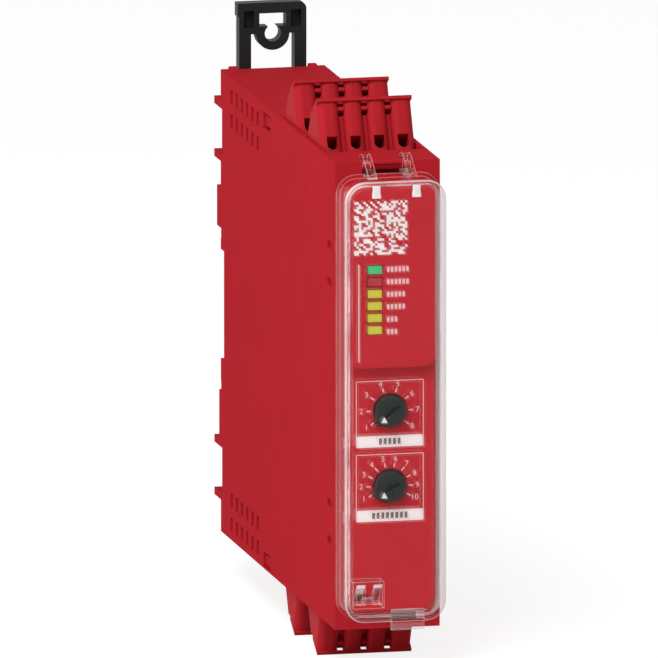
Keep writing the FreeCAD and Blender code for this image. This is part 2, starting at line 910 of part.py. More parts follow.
def cover_tab():
    """The finger tab at the cover's lower edge."""
    low = middle - cover_height(cover_front) / 2 - tab_overhang
    back = cover_front - tab_thickness / 2
    left = tab_shift - tab_width / 2
    plate = block(left, left + tab_width, back, cover_front + tab_thickness / 2, low, low + tab_height)
    grooves = [block(left, left + tab_width, cover_front + tab_thickness / 2 - tab_groove,
                     cover_front + tab_thickness / 2, low + tab_height - step - tab_groove, low + tab_height - step)
               for step in (tab_groove, 3 * tab_groove, 5 * tab_groove)]
    return plate.cut(grooves)


def seal_block():
    """The eyelet for a seal wire: two sloped notches with a drilled rib between them."""
    low = bottom + seal_block_rise
    high = low + seal_block_height
    left = seal_block_shift - seal_block_width / 2
    right = seal_block_shift + seal_block_width / 2
    back = cover_front - seal_block_depth
    solid = block(left, right, back, cover_front - cover_wall / 2, low, high)
    return solid, (left, right, back, low, high)


def seal_cuts():
    """The notches and the wire hole of the seal eyelet."""
    _, (left, right, back, low, high) = seal_block()
    floor = low + cover_wall
    notch = [(cover_front, high - cover_wall / 2), (back + cover_wall, floor), (cover_front, floor)]
    centre = (left + right) / 2
    cuts = []
    for side in (-1, 1):
        near = centre + side * seal_rib_width / 2
        far = near + side * seal_notch_width
        cuts.append(prism(notch, min(near, far), max(near, far)))
    cuts.append(cross_rod(seal_hole_radius, (back + cover_front + cover_wall) / 2, floor + seal_hole_rise,
                          centre - seal_rib_width, centre + seal_rib_width))
    return cuts


def make_clear_cover():
    """The hinged clear cover: a shallow shell with arms, a finger tab and a seal eyelet."""
    outer = cover_body(0, cover_front, cover_edge_round)
    inner = cover_body(cover_wall, cover_front - cover_wall, cover_edge_round)
    shell = outer.cut(inner)
    solid, _ = seal_block()
    shell = shell.fuse([solid, cover_tab()] + [hinge_arm(x) for x in arm_places()])
    return shell.cut(seal_cuts()).removeSplitter()


# ---------------------------------------------------------------- front panel


def panel_width():
    """Width of the front panel, inside the clear cover."""
    return cover_width(panel_front) - 2 * (cover_wall + panel_clearance)


def panel_height():
    """Height of the front panel, inside the clear cover."""
    return cover_height(panel_front) - 2 * (cover_wall + panel_clearance)


def label_width():
    """Width of the raised label field."""
    return cover_width(label_front) - 2 * (cover_wall + panel_clearance)


def light_rises():
    """The height of each light window's centre."""
    return [bottom + light_top_rise - index * light_pitch for index in range(light_count)]


def selector_rises():
    """The height of each selector's centre."""
    return [bottom + start_knob_rise, bottom + function_knob_rise]


def make_front_panel():
    """The front panel with its raised label field, selector holes and light windows."""
    width = panel_width()
    height = panel_height()
    body = rounded_plate(width, height, panel_corner, housing_depth, panel_front)
    label_low = bottom + label_bottom_rise
    label_high = middle + height / 2
    label = rounded_plate(label_width(), label_high - label_low, label_corner, panel_front - panel_skin,
                          label_front, 0, (label_low + label_high) / 2)
    collar = front_opening(-panel_fit)
    hollow = rounded_plate(width - 2 * panel_rim - 2 * panel_skin, height - 2 * panel_rim - 2 * panel_skin,
                           panel_skin, housing_depth - front_wall, panel_front - panel_skin)
    body = body.fuse([label, collar]).cut(hollow)
    cuts = []
    for up in selector_rises():
        cuts.append(forward_rod(knob_radius + knob_gap, 0, up, panel_front - panel_skin, panel_front))
    half_w = light_width / 2 + light_fit
    half_h = light_height / 2 + light_fit
    for up in light_rises():
        cuts.append(block(light_shift - half_w, light_shift + half_w, panel_front - panel_skin, label_front,
                          up - half_h, up + half_h))
    _, (left, right, _, low, _) = seal_block()
    centre = (left + right) / 2
    cuts.append(block(centre - seal_rib_width, centre + seal_rib_width / 2, panel_front - panel_skin, panel_front,
                      low + cover_wall, low + cover_wall + 2 * seal_hole_radius))
    return body.cut(cuts).removeSplitter()


def make_light_window(index):
    """A clear bar that brings the light of one lamp to the front."""
    up = light_rises()[index]
    back = front_board_front + light_chip_height + header_gap
    return block(light_shift - light_width / 2, light_shift + light_width / 2, back, label_front + light_stand,
                 up - light_height / 2, up + light_height / 2)


def selector_head(up, angle, back, front):
    """The visible head of a selector: a disc with a pointed nose, its front edge chamfered."""
    touch = math.acos(knob_radius / knob_nose_radius)

    def rim(turn, radius=knob_radius):
        spread = math.radians(angle) + turn
        return at(radius * math.cos(spread), back, up + radius * math.sin(spread))

    tip = rim(0, knob_nose_radius)
    edges = [
        Part.Arc(rim(touch), rim(math.pi), rim(-touch)).toShape(),
        Part.makeLine(rim(-touch), tip),
        Part.makeLine(tip, rim(touch)),
    ]
    head = Part.Face(Part.Wire(edges)).extrude(at(0, front - back, 0))
    front_edges = [edge for edge in head.Edges if abs(edge.BoundBox.YMax + front) < 0.001]
    return head.makeChamfer(knob_round, front_edges)


def make_selector(up, angle):
    """A selector knob: a slotted head on a round collar, and a stem in its switch."""
    back = panel_front - panel_skin + knob_gap
    front = panel_front + knob_height
    head_back = panel_front + knob_gap
    head = selector_head(up, angle, head_back, front)
    collar = forward_rod(knob_radius - knob_round, 0, up, back, head_back)
    stem = forward_rod(knob_stem_radius, 0, up, back - switch_depth / 2, back)
    slot = block(-knob_slot_width / 2, knob_slot_width / 2, front - knob_slot_depth, front,
                 up - knob_slot_length / 2, up + knob_slot_length / 2)
    slot.rotate(at(0, 0, up), FreeCAD.Vector(0, -1, 0), angle - 90)
    return head.fuse([collar, stem]).cut(slot).removeSplitter()


def make_selector_switch(up):
    """The rotary switch behind a selector."""
    front = panel_front - panel_skin
    half = switch_size / 2
    body = block(-half, half, front - switch_depth, front, up - half, up + half)
    depth = knob_stem_gap + switch_depth / 2
    return body.cut(forward_rod(knob_stem_radius + knob_stem_gap, 0, up, front - depth, front))


# ---------------------------------------------------------------- boards


def tab_front(row):
    """Where the main board's tab ends, just behind a pocket."""
    lean = math.radians(plug_tilt)
    behind = pocket_depth / math.cos(lean) - board_tab_drop * math.tan(lean)
    return row_faces[row] - behind - board_clearance


def tab_back(row):
    """Where the main board clears the underside of the pocket behind a tab."""
    lean = math.radians(plug_tilt)
    under = (pocket_floor + pocket_wall) / math.cos(lean)
    return row_faces[row] + (under - board_tab_drop) / math.tan(lean) + board_clearance


def make_main_board():
    """The upright board, with a tab up to each header."""
    lean = math.radians(plug_tilt)
    notch_drop = pocket_depth * math.sin(lean) + (pocket_floor + pocket_wall) * math.cos(lean) + board_clearance
    tab_up = top - board_tab_drop
    notch_up = top - notch_drop
    upper = [
        (board_back, tab_up),
        (tab_front("rear"), tab_up),
        (tab_front("rear"), notch_up),
        (tab_back("rear"), notch_up),
        (tab_back("rear"), tab_up),
        (tab_front("front"), tab_up),
        (tab_front("front"), notch_up),
        (front_board_back, notch_up),
    ]
    lower = [(forward, 2 * middle - up) for forward, up in reversed(upper)]
    return prism(upper + lower, board_face, board_face + board_thickness)


def make_front_board():
    """The board behind the front panel."""
    return block(-half_inside + front_board_margin, board_face + board_thickness, front_board_back,
                 front_board_front, middle - front_board_height / 2, middle + front_board_height / 2)


def make_board_link():
    """The strip that joins the two boards."""
    across, tall, deep = link_size
    return block(board_face - across, board_face, front_board_back - deep, front_board_back,
                 middle - tall / 2, middle + tall / 2)


def make_light_chips():
    """The lamps on the front board, one behind each light window."""
    half = light_chip_size / 2
    chips = [block(light_shift - half, light_shift + half, front_board_front,
                   front_board_front + light_chip_height, up - half, up + half) for up in light_rises()]
    return Part.makeCompound(chips)


def make_relay(end):
    """A sealed relay on the main board."""
    high = top - relay_from_end
    body = block(board_face - relay_height, board_face, relay_forward, relay_forward + relay_length,
                 high - relay_width, high)
    return at_end(body, end)


def make_transformer():
    """The power converter's core and winding, as one potted block."""
    deep, tall, across = transformer_size
    return block(board_face - across, board_face, transformer_forward, transformer_forward + deep,
                 middle - tall / 2, middle + tall / 2)


def make_capacitor(forward):
    """A round capacitor that stands on the main board."""
    return cross_rod(capacitor_radius, forward, bottom + capacitor_rise - capacitor_radius,
                     board_face - capacitor_height, board_face)


def make_processor(end):
    """One of the two processors that watch each other."""
    high = top - processor_from_end
    back = front_board_back - processor_setback
    body = block(board_face - processor_height, board_face, back, back + processor_size,
                 high - processor_size, high)
    return at_end(body, end)


def make_fuse():
    """The supply fuse."""
    deep, tall, across = fuse_size
    high = top - fuse_from_end
    back = front_board_back - fuse_setback
    return block(board_face - across, board_face, back, back + deep, high - tall, high)


# ---------------------------------------------------------------- all the sub-parts


def build():
    """Make and write every sub-part."""
    os.makedirs("parts", exist_ok=True)
    save("housing_shell", make_housing_shell())
    save("side_cover", make_side_cover())
    save("top_lug", make_lug("top", lug_length, False))
    save("bottom_lug", make_lug("bottom", latch_length, True))
    save("clear_cover", make_clear_cover())
    save("front_panel", make_front_panel())
    for row in row_faces:
        for end in ("top", "bottom"):
            place = "%s_%s" % (end, row)
            save("terminal_block_" + place, make_plug(row, end))
            save("contacts_" + place, make_contacts(row, end))
            save("clamp_springs_" + place, make_springs(row, end))
            save("header_" + place, make_header(row, end))
            save("header_pins_" + place, make_header_pins(row, end))
    for index in range(light_count):
        save("light_window_%d" % (index + 1), make_light_window(index))
    selectors = (("start", start_knob_rise, start_first_angle),
                 ("function", function_knob_rise, function_first_angle))
    for name, rise, angle in selectors:
        save(name + "_selector", make_selector(bottom + rise, angle))
        save(name + "_switch", make_selector_switch(bottom + rise))
    save("main_board", make_main_board())
    save("front_board", make_front_board())
    save("board_link", make_board_link())
    save("light_chips", make_light_chips())
    save("channel_relay_1", make_relay("top"))
    save("channel_relay_2", make_relay("bottom"))
    save("transformer", make_transformer())
    for index in range(2):
        save("capacitor_%d" % (index + 1), make_capacitor(capacitor_forward + index * capacitor_pitch))
    save("processor_1", make_processor("top"))
    save("processor_2", make_processor("bottom"))
    save("fuse", make_fuse())


build()
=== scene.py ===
# %% [markdown]
# # A safety relay module, dressed for a studio picture
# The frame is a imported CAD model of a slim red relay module. It already has every moulded piece at its real
# size. This lesson gives each piece its finish, adds the thin printing on the front, and lights the whole
# thing like a catalogue picture.

import json
import math

import bpy
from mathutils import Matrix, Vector


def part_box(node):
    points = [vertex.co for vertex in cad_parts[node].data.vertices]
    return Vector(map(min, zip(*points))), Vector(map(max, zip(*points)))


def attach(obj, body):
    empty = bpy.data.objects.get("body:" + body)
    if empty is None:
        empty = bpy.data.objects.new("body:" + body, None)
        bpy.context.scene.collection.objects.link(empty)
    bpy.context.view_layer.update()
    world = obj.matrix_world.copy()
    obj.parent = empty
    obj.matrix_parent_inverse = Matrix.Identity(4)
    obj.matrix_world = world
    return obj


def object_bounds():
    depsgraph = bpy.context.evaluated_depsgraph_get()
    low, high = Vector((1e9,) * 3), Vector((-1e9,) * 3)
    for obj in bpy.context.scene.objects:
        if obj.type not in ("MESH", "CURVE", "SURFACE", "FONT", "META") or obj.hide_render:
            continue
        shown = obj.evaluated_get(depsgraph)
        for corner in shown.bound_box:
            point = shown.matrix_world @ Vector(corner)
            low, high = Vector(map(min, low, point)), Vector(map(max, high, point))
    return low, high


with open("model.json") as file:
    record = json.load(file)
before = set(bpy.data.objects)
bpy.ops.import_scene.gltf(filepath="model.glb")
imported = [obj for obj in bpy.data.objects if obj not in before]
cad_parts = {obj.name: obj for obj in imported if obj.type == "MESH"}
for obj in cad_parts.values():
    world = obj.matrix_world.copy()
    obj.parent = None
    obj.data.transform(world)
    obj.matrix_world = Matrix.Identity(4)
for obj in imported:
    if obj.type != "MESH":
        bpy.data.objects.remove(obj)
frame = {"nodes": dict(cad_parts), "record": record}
cad_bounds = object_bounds()
MM = 0.001
print("pieces in the frame:", len(frame["nodes"]))

# %% [markdown]
# ## Small tools
# Operators in Blender act on whatever is selected, so each step first deselects everything. A new piece is
# always finished by applying its place, turn and size to its mesh, because textures that read Object
# coordinates then stay still.

# %% Tools for selecting and finishing pieces


def deselect_all():
    """Leave edit mode and select nothing."""
    if bpy.context.mode != "OBJECT":
        bpy.ops.object.mode_set(mode="OBJECT")
    bpy.ops.object.select_all(action="DESELECT")


def pick(piece):
    """Make one piece the only selected and active one."""
    deselect_all()
    piece.select_set(True)
    bpy.context.view_layer.objects.active = piece


def settle(piece):
    """Put a piece's place, turn and size into its mesh."""
    pick(piece)
    bpy.ops.object.transform_apply(location=True, rotation=True, scale=True)
    return piece


def join(pieces, name):
    """Join several pieces into one."""
    deselect_all()
    for piece in pieces:
        piece.select_set(True)
    bpy.context.view_layer.objects.active = pieces[0]
    if len(pieces) > 1:
        bpy.ops.object.join()
    joined = bpy.context.view_layer.objects.active
    joined.name = name
    joined.data.name = name
    return joined


def thicken(piece, thickness):
    """Give a flat mark a real thickness that rises towards the viewer."""
    pick(piece)
    modifier = piece.modifiers.new("thickness", "SOLIDIFY")
    modifier.thickness = thickness
    modifier.offset = 1.0
    bpy.ops.object.modifier_apply(modifier=modifier.name)
    return piece


def centre(node):
    """The middle of a CAD node's box."""
    low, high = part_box(node)
    return Vector([(a + b) / 2 for a, b in zip(low, high)])


def height_of(rise):
    """A height in the frame from a height above the housing's lower edge."""
    return (rise - 47.95) * MM


# %% [markdown]
# ## The moulded plastics
# The housing is a glass-filled moulding: one strong red with a fine matt grain and the faint cloudiness of
# the melt. A noise texture at two scales gives both, and a Bevel node softens the light on edges that the
# CAD left sharp. The node reads Object coordinates, so nothing slides when a part moves.

# %% Make a moulded plastic


def moulded(name, colour, roughness, grain=0.02, edge=0.12, cloud=0.06, grain_size=0.25, shine=0.2):
    """A moulded plastic with a fine grain, a faint cloudiness and softened edges."""
    material = bpy.data.materials.new(name)
    material.use_nodes = True
    tree = material.node_tree
    shader = tree.nodes["Principled BSDF"]
    place = tree.nodes.new("ShaderNodeTexCoord")
    fine = tree.nodes.new("ShaderNodeTexNoise")
    fine.inputs["Scale"].default_value = 1 / (grain_size * MM)
    fine.inputs["Detail"].default_value = 3
    broad = tree.nodes.new("ShaderNodeTexNoise")
    broad.inputs["Scale"].default_value = 1 / (14 * MM)
    broad.inputs["Detail"].default_value = 2
    mix = tree.nodes.new("ShaderNodeMix")
    mix.data_type = "RGBA"
    mix.inputs["A"].default_value = (*[c * (1 - cloud) for c in colour], 1)
    mix.inputs["B"].default_value = (*[c * (1 + cloud) for c in colour], 1)
    rough = tree.nodes.new("ShaderNodeMapRange")
    rough.inputs["To Min"].default_value = roughness - 0.06
    rough.inputs["To Max"].default_value = roughness + 0.06
    bump = tree.nodes.new("ShaderNodeBump")
    bump.inputs["Strength"].default_value = 0.5
    bump.inputs["Distance"].default_value = grain * MM
    soft = tree.nodes.new("ShaderNodeBevel")
    soft.samples = 4
    soft.inputs["Radius"].default_value = edge * MM
    link = tree.links.new
    link(place.outputs["Object"], fine.inputs["Vector"])
    link(place.outputs["Object"], broad.inputs["Vector"])
    link(broad.outputs["Fac"], mix.inputs["Factor"])
    link(mix.outputs["Result"], shader.inputs["Base Color"])
    link(fine.outputs["Fac"], rough.inputs["Value"])
    link(rough.outputs["Result"], shader.inputs["Roughness"])
    link(soft.outputs["Normal"], bump.inputs["Normal"])
    link(fine.outputs["Fac"], bump.inputs["Height"])
    link(bump.outputs["Normal"], shader.inputs["Normal"])
    shader.inputs["IOR"].default_value = 1.46
    shader.inputs["Specular IOR Level"].default_value = shine
    return material


housing_red = moulded("housing_red", (0.440, 0.0160, 0.0245), 0.7, shine=0.01)
panel_red = moulded("panel_red", (0.485, 0.0190, 0.0270), 0.6, edge=0.1, shine=0.02)
block_red = moulded("block_red", (0.425, 0.0165, 0.0235), 0.55, edge=0.15, shine=0.03)
lug_black = moulded("lug_black", (0.017, 0.018, 0.018), 0.45, edge=0.2, shine=0.1)
knob_dark = moulded("knob_dark", (0.020, 0.023, 0.023), 0.5, shine=0.1)
print("moulded plastics:", [m.name for m in (housing_red, panel_red, block_red, lug_black, knob_dark)])

# %% [markdown]
# ## Clear and tinted plastics
# The hinged cover is clear polycarbonate. Its flat walls are thin, so they are mostly plain see-through with
# a little bending glass, and more of it at a slant. Two masks find the sharp edges and the rounded ones, and
# a diffuse white paints highlights along them; a painted highlight also whitens the arm ribs near their
# roots.
# Painted dark lines run beside the inner rounded edges, painted shade lies in stripes across the grip band,
# and a painted dark rim follows where a wall is seen edge-on. Lamps shine through the cover, so that the
# panel is lit. The light windows are tinted bars that don't glow, as the lights are off.

# %% Make the clear and tinted plastics


def clear(name, colour, roughness, transmission=1.0, ior=1.49):
    """A clear plastic with faint waviness from the mould."""
    material = bpy.data.materials.new(name)
    material.use_nodes = True
    tree = material.node_tree
    shader = tree.nodes["Principled BSDF"]
    shader.inputs["Base Color"].default_value = (*colour, 1)
    shader.inputs["Transmission Weight"].default_value = transmission
    shader.inputs["IOR"].default_value = ior
    shader.inputs["Roughness"].default_value = roughness
    place = tree.nodes.new("ShaderNodeTexCoord")
    wave = tree.nodes.new("ShaderNodeTexNoise")
    wave.inputs["Scale"].default_value = 1 / (9 * MM)
    bump = tree.nodes.new("ShaderNodeBump")
    bump.inputs["Strength"].default_value = 0.12
    bump.inputs["Distance"].default_value = 0.05 * MM
    link = tree.links.new
    link(place.outputs["Object"], wave.inputs["Vector"])
    link(wave.outputs["Fac"], bump.inputs["Height"])
    link(bump.outputs["Normal"], shader.inputs["Normal"])
    return material


def calc(tree, operation, *values):
    """One arithmetic node, fed by numbers or by the outputs of other nodes."""
    node = tree.nodes.new("ShaderNodeMath")
    node.operation = operation
    for socket, value in zip(node.inputs, values):
        if isinstance(value, bpy.types.NodeSocket):
            tree.links.new(value, socket)
        else:
            socket.default_value = value
    return node.outputs["Value"]


def ramp(tree, value, low, high, first=0.0, last=1.0):
    """A straight ramp from first to last, while a value goes from low to high."""
    node = tree.nodes.new("ShaderNodeMapRange")
    for name, number in (("From Min", low), ("From Max", high), ("To Min", first), ("To Max", last)):
        node.inputs[name].default_value = number
    tree.links.new(value, node.inputs["Value"])
    return node.outputs["Result"]


def blended(tree, share, first, second):
    """Two shaders mixed by a share."""
    node = tree.nodes.new("ShaderNodeMixShader")
    tree.links.new(share, node.inputs["Fac"])
    tree.links.new(first, node.inputs[1])
    tree.links.new(second, node.inputs[2])
    return node.outputs["Shader"]


def plain_shader(tree, kind, level):
    """A shader of one grey level."""
    node = tree.nodes.new(kind)
    node.inputs["Color"].default_value = (level, level, level, 1)
    return node.outputs["BSDF"]


def sharp_edges(tree):
    """How close a point is to a sharp edge, from the turn that a small bevel would give its normal."""
    surface = tree.nodes.new("ShaderNodeNewGeometry")
    rounded = tree.nodes.new("ShaderNodeBevel")
    rounded.samples = 6
    rounded.inputs["Radius"].default_value = 0.16 * MM
    agree = tree.nodes.new("ShaderNodeVectorMath")
    agree.operation = "DOT_PRODUCT"
    tree.links.new(surface.outputs["True Normal"], agree.inputs[0])
    tree.links.new(rounded.outputs["Normal"], agree.inputs[1])
    return ramp(tree, agree.outputs["Value"], 0.995, 0.93)


def round_edges(tree):
    """Where a rounded edge is half way between the front and a side, in the piece's own space."""
    surface = tree.nodes.new("ShaderNodeNewGeometry")
    turned = tree.nodes.new("ShaderNodeVectorTransform")
    turned.vector_type = "NORMAL"
    turned.convert_from = "WORLD"
    turned.convert_to = "OBJECT"
    size = tree.nodes.new("ShaderNodeVectorMath")
    size.operation = "ABSOLUTE"
    parts = tree.nodes.new("ShaderNodeSeparateXYZ")
    tree.links.new(surface.outputs["Normal"], turned.inputs["Vector"])
    tree.links.new(turned.outputs["Vector"], size.inputs[0])
    tree.links.new(size.outputs["Vector"], parts.inputs["Vector"])
    not_side = ramp(tree, parts.outputs["Y"], 0.36, 0.5)
    return calc(tree, "MULTIPLY", ramp(tree, parts.outputs["Y"], 0.93, 0.84), not_side)


def finish_cover(material):
    """Make a clear moulding that is mostly seen through, with painted highlights along its edges and painted
    shade in dark lines and stripes.
    """
    tree = material.node_tree
    glass = tree.nodes["Principled BSDF"].outputs["BSDF"]
    open_air = tree.nodes.new("ShaderNodeBsdfTransparent").outputs["BSDF"]
    white = plain_shader(tree, "ShaderNodeBsdfDiffuse", 0.95)
    dark = plain_shader(tree, "ShaderNodeBsdfDiffuse", 0.05)
    place = tree.nodes.new("ShaderNodeTexCoord")
    where = tree.nodes.new("ShaderNodeSeparateXYZ")
    tree.links.new(place.outputs["Object"], where.inputs["Vector"])
    patches = tree.nodes.new("ShaderNodeTexNoise")
    patches.inputs["Scale"].default_value = 1 / (8 * MM)
    tree.links.new(place.outputs["Object"], patches.inputs["Vector"])
    patch = ramp(tree, patches.outputs["Fac"], 0.38, 0.62)
    slant = tree.nodes.new("ShaderNodeLayerWeight")
    slant.inputs["Blend"].default_value = 0.5
    tree.links.new(ramp(tree, slant.outputs["Facing"], 0.2, 0.8, 1.0, 0.95), open_air.node.inputs["Color"])
    clear_part = blended(tree, ramp(tree, slant.outputs["Facing"], 0.1, 0.8, 0.12, 0.25), open_air, glass)
    inside = ramp(tree, where.outputs["Y"], cover_front + 0.80 * MM, cover_front + 0.86 * MM)
    below_arms = ramp(tree, where.outputs["Z"], cover_top, cover_top - 0.1 * MM)
    rounds = calc(tree, "MULTIPLY", round_edges(tree), below_arms)
    on_outside = calc(tree, "MULTIPLY", rounds, calc(tree, "SUBTRACT", 1.0, inside))
    on_inside = calc(tree, "MULTIPLY", rounds, inside)
    # painted highlights: a diffuse white on the outer rounded edges, the inner rounded edges and the sharp
    # edges
    outer_edge_highlight = calc(tree, "MULTIPLY", on_outside, ramp(tree, patch, 0.0, 1.0, 0.8, 1.0))
    inner_edge_highlight = calc(tree, "MULTIPLY", on_inside, ramp(tree, patch, 0.0, 1.0, 0.0, 0.6))
    # painted shade: dark lines beside the inner rounded edges
    inner_edge_shade = calc(tree, "MULTIPLY", on_inside, ramp(tree, patch, 0.0, 0.6, 0.55, 0.0))
    sharp_edge_highlight = calc(tree, "MULTIPLY", sharp_edges(tree), ramp(tree, patch, 0.0, 1.0, 0.5, 0.85))
    # painted highlight: the arm ribs standing in front of the cover turn white near their roots
    proud = ramp(tree, where.outputs["Y"], cover_front - 0.1 * MM, cover_front - 0.2 * MM)
    by_roots = calc(tree, "COMPARE", where.outputs["Z"], root_middle, root_reach)
    rib_painted_highlight = calc(tree, "MULTIPLY", proud, by_roots)
    edge_highlights = calc(tree, "MAXIMUM", calc(tree, "MAXIMUM", outer_edge_highlight, inner_edge_highlight), sharp_edge_highlight)
    painted_highlight = calc(tree, "MAXIMUM", edge_highlights, calc(tree, "MULTIPLY", rib_painted_highlight, 0.8))
    highlighted = blended(tree, painted_highlight, clear_part, white)
    # painted shade: dark stripes across the grip band of the tab, standing for the shade in its grooves
    turns = calc(tree, "MULTIPLY", where.outputs["Z"], 2 * math.pi / grip_stripe)
    stripes = ramp(tree, calc(tree, "SINE", turns), -1, 1, 0.35, 0.75)
    across = calc(tree, "COMPARE", where.outputs["X"], grip_x, grip_half_width)
    band = calc(tree, "COMPARE", where.outputs["Z"], grip_middle, grip_half_height)
    grip = calc(tree, "MULTIPLY", across, band)
    grip_painted_shade = calc(tree, "MULTIPLY", grip, calc(tree, "SUBTRACT", stripes, inside))
    # painted shade: a dark rim where a wall is seen edge-on, then all painted shade together
    edge_on_shade = ramp(tree, slant.outputs["Facing"], 0.88, 1.0, 0.0, 0.6)
    painted_shade = calc(tree, "MAXIMUM", calc(tree, "MAXIMUM", inner_edge_shade, grip_painted_shade), edge_on_shade)
    shaded = blended(tree, painted_shade, highlighted, dark)
    path = tree.nodes.new("ShaderNodeLightPath")
    lamp_through = plain_shader(tree, "ShaderNodeBsdfTransparent", 1.0)
    whole = blended(tree, path.outputs["Is Shadow Ray"], shaded, lamp_through)
    tree.links.new(whole, tree.nodes["Material Output"].inputs["Surface"])
    return material


tab_stand = 0.6 * MM
cover_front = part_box("clear_cover")[0][1] + tab_stand
cover_top = height_of(97.3)
root_middle = height_of(93.9)
root_reach = 2.2 * MM
grip_x = 1.45 * MM
grip_half_width = 2.65 * MM
grip_middle = height_of(4.35)
grip_half_height = 0.85 * MM
grip_stripe = 0.57 * MM
cover_clear = finish_cover(clear("cover_clear", (1.0, 1.0, 1.0), 0.02))
window_green = clear("window_green", (0.048, 0.445, 0.171), 0.35, 0.0)
window_red = clear("window_red", (0.40, 0.010, 0.028), 0.35, 0.0)
window_yellow = clear("window_yellow", (0.55, 0.50, 0.030), 0.35, 0.0)
print("clear plastics:", cover_clear.name, window_green.name, window_red.name, window_yellow.name)

# %% [markdown]
# ## Metals, boards and inner parts
# What lies inside shows only through slots and when a terminal block is pulled out, but every piece still
# gets its own finish.

# %% Make the metals


def metal(name, colour, roughness, grain_size=0.4):
    """A drawn or rolled metal with fine streaks in its roughness."""
    material = bpy.data.materials.new(name)
    material.use_nodes = True
    tree = material.node_tree
    shader = tree.nodes["Principled BSDF"]
    shader.inputs["Base Color"].default_value = (*colour, 1)
    shader.inputs["Metallic"].default_value = 1.0
    place = tree.nodes.new("ShaderNodeTexCoord")
    stretch = tree.nodes.new("ShaderNodeMapping")
    stretch.inputs["Scale"].default_value = (1, 6, 1)
    noise = tree.nodes.new("ShaderNodeTexNoise")
    noise.inputs["Scale"].default_value = 1 / (grain_size * MM)
    rough = tree.nodes.new("ShaderNodeMapRange")
    rough.inputs["To Min"].default_value = roughness - 0.08
    rough.inputs["To Max"].default_value = roughness + 0.08
    link = tree.links.new
    link(place.outputs["Object"], stretch.inputs["Vector"])
    link(stretch.outputs["Vector"], noise.inputs["Vector"])
    link(noise.outputs["Fac"], rough.inputs["Value"])
    link(rough.outputs["Result"], shader.inputs["Roughness"])
    return material


contact_copper = metal("contact_copper", (0.70, 0.42, 0.22), 0.32)
spring_steel = metal("spring_steel", (0.60, 0.60, 0.60), 0.28)
pin_metal = metal("pin_metal", (0.78, 0.74, 0.62), 0.25)
can_metal = metal("can_metal", (0.72, 0.72, 0.72), 0.35)
part_black = moulded("part_black", (0.012, 0.012, 0.013), 0.5)
relay_case = moulded("relay_case", (0.56, 0.54, 0.46), 0.4)
board_green = moulded("board_green", (0.006, 0.075, 0.022), 0.3, grain=0.01, cloud=0.25)
chip_white = moulded("chip_white", (0.70, 0.70, 0.62), 0.4)
print("inner finishes made")

# %% [markdown]
# ## Give every piece its finish
# The record of the frame says which slot each node takes, so one table from slot to material is enough.

# %% Dress the frame
finishes = {
    "housing_red": housing_red,
    "panel_red": panel_red,
    "block_red": block_red,
    "lug_black": lug_black,
    "clear_plastic": cover_clear,
    "selector_dark": knob_dark,
    "part_black": part_black,
    "board_green": board_green,
    "chip_white": chip_white,
    "relay_case": relay_case,
    "can_metal": can_metal,
    "window_green": window_green,
    "window_red": window_red,
    "window_yellow": window_yellow,
    "contact_copper": contact_copper,
    "spring_steel": spring_steel,
    "pin_metal": pin_metal,
}
slot_of = {entry["node"]: entry["material_slot"] for entry in frame["record"]["subparts"]}
for node, piece in frame["nodes"].items():
    piece.data.materials.clear()
    piece.data.materials.append(finishes[slot_of[node]])
print("dressed", len(frame["nodes"]), "nodes")

# %% [markdown]
# ## Printing on the front
# The printing is a thin layer of ink. Each mark starts as a plane turned to face the front, its corners are
# rounded in edit mode where the real mark has round ends, and a Solidify modifier gives the ink a thickness
# of a few hundredths of a millimetre.

# %% Make the inks


def ink(name, colour):
    """A matt printing ink with faint unevenness."""
    return moulded(name, colour, 0.5, grain=0.004, edge=0.0, cloud=0.03, grain_size=0.15, shine=0.05)


pale_ink = ink("pale_ink", (0.90, 0.81, 0.80))
pink_ink = ink("pink_ink", (0.86, 0.56, 0.58))
white_ink = ink("white_ink", (0.86, 0.82, 0.82))
dark_ink = ink("dark_ink", (0.075, 0.012, 0.014))
INK = 0.03 * MM
label_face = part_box("front_panel")[0][1]
start_centre = centre("start_selector")
print("label face at y =", round(label_face * 1000, 2), "mm")

# %% Flat marks


def mark(x, z, width, height, face, corner=0.0, turn=0.0):
    """A flat mark on a face that looks forward, turned about its own middle."""
    deselect_all()
    bpy.ops.mesh.primitive_plane_add(size=1, location=(x, face, z), rotation=(math.radians(90), 0, 0))
    piece = bpy.context.active_object
    piece.scale = (width, height, 1)
    settle(piece)
    if corner:
        bpy.ops.object.mode_set(mode="EDIT")
        bpy.ops.mesh.select_all(action="SELECT")
        bpy.ops.mesh.bevel(offset=corner, segments=5, affect="VERTICES")
        bpy.ops.object.mode_set(mode="OBJECT")
    if turn:
        bpy.ops.object.mode_set(mode="EDIT")
        bpy.ops.mesh.select_all(action="SELECT")
        bpy.ops.transform.rotate(value=turn, orient_axis="Y", center_override=(x, face, z))
        bpy.ops.object.mode_set(mode="OBJECT")
    return piece


def numeral(text, x, z, size, face):
    """A printed number, centred on a point."""
    deselect_all()
    bpy.ops.object.text_add(location=(x, face, z), rotation=(math.radians(90), 0, 0))
    piece = bpy.context.active_object
    piece.data.body = text
    piece.data.size = size
    piece.data.align_x = "CENTER"
    piece.data.align_y = "CENTER"
    piece.data.resolution_u = 4
    pick(piece)
    bpy.ops.object.convert(target="MESH")
    return settle(piece)


# %% Find the panel's plane behind each selector
label_rise = 1.5 * MM
selector_face = label_face + label_rise
dial_x = start_centre.x
start_z = centre("start_switch").z
function_z = centre("function_switch").z
print("panel face at y =", round(selector_face * 1000, 2), "mm")

# %% [markdown]
# ## The two dials
# Each dial has a ring of short ticks with a number outside each, a thin frame, and a pale strip under it.
# One tick is a narrow mark turned to point at the middle. The numbers stay upright.

# %% Draw the dials


tick_radius = 4.55 * MM
number_radius = 6.05 * MM
number_shift = 0.1 * MM
number_squash = 0.98


